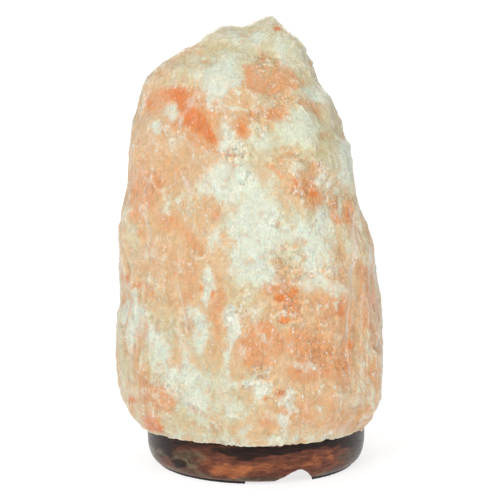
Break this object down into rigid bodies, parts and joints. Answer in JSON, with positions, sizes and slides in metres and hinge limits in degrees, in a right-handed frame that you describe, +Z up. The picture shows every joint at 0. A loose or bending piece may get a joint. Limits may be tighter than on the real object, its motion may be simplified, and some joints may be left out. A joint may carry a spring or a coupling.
{
  "type": "salt crystal lamp",
  "caption": "Rough pink rock salt block on a round stained wood base, with a sprung bulb holder that pulls out of the bore from below.",
  "frame": {"origin": "on the axis of the wooden base, in the plane that the lamp stands on", "axes": "+Z up, the front of the lamp faces -Y, +X is to the right seen from the front"},
  "size_m": [0.1289, 0.1212, 0.2134],
  "materials": {
    "rock_salt": "satin",
    "stained_wood": "satin",
    "black_felt": "matte",
    "zinc_plated_steel": "satin",
    "plated_plate": "satin",
    "spring_steel": "satin",
    "white_plastic": "matte",
    "holder_plastic": "gloss",
    "brass_parts": "satin",
    "insulator_ceramic": "satin",
    "solder": "satin",
    "bulb_cap_metal": "satin",
    "black_glass": "gloss",
    "clear_glass": "gloss",
    "filament_wire": "satin"
  },
  "bodies": {
    "lamp": {"salt_crystal": "rock_salt", "wooden_base": "stained_wood", "base_screws": "zinc_plated_steel", "felt_ring": "black_felt"},
    "holder": {"holder_plate": "plated_plate", "spring_bridge": "spring_steel", "threaded_nipple": "zinc_plated_steel", "lock_washer": "zinc_plated_steel", "nipple_nut": "zinc_plated_steel", "cord_bushing": "white_plastic", "socket_base_cap": "holder_plastic", "socket_sleeve": "holder_plastic", "screw_shell": "brass_parts", "contact_insulator": "insulator_ceramic", "centre_contact": "brass_parts", "side_contact": "brass_parts", "terminal_blocks": "brass_parts", "terminal_screws": "zinc_plated_steel"},
    "clip_left": {"clip_wing_left": "spring_steel"},
    "clip_right": {"clip_wing_right": "spring_steel"},
    "bulb_carrier": {"bulb_tip_contact": "solder"},
    "bulb": {"bulb_cap": "bulb_cap_metal", "bulb_cap_insulator": "black_glass", "bulb_glass": "clear_glass", "bulb_stem": "clear_glass", "filament": "filament_wire", "lead_wires": "filament_wire", "filament_supports": "filament_wire"}
  },
  "joints": [
    {"name": "holder_pull", "type": "slide", "parent": "lamp", "child": "holder", "axis": [0, 0, -1], "range_m": [0, 0.11]},
    {"name": "clip_left_squeeze", "type": "hinge", "parent": "holder", "child": "clip_left", "pos_m": [-0.0154, 0, 0.00962], "axis": [0, 1, 0], "range_deg": [0, 8], "stiffness_Nm_per_rad": 0.7},
    {"name": "clip_right_squeeze", "type": "hinge", "parent": "holder", "child": "clip_right", "pos_m": [0.0154, 0, 0.00962], "axis": [0, -1, 0], "range_deg": [0, 8], "stiffness_Nm_per_rad": 0.7},
    {"name": "bulb_rise", "type": "slide", "parent": "holder", "child": "bulb_carrier", "axis": [0, 0, 1], "range_m": [0, 0.0113]},
    {"name": "bulb_unscrew", "type": "hinge", "parent": "bulb_carrier", "child": "bulb", "pos_m": [0, 0, 0.045], "axis": [0, 0, 1], "range_deg": [0, 1440]}
  ],
  "couplings": [
    {"joint": "bulb_rise", "follows": "bulb_unscrew", "m_per_rad": 0.00044914}
  ]
}
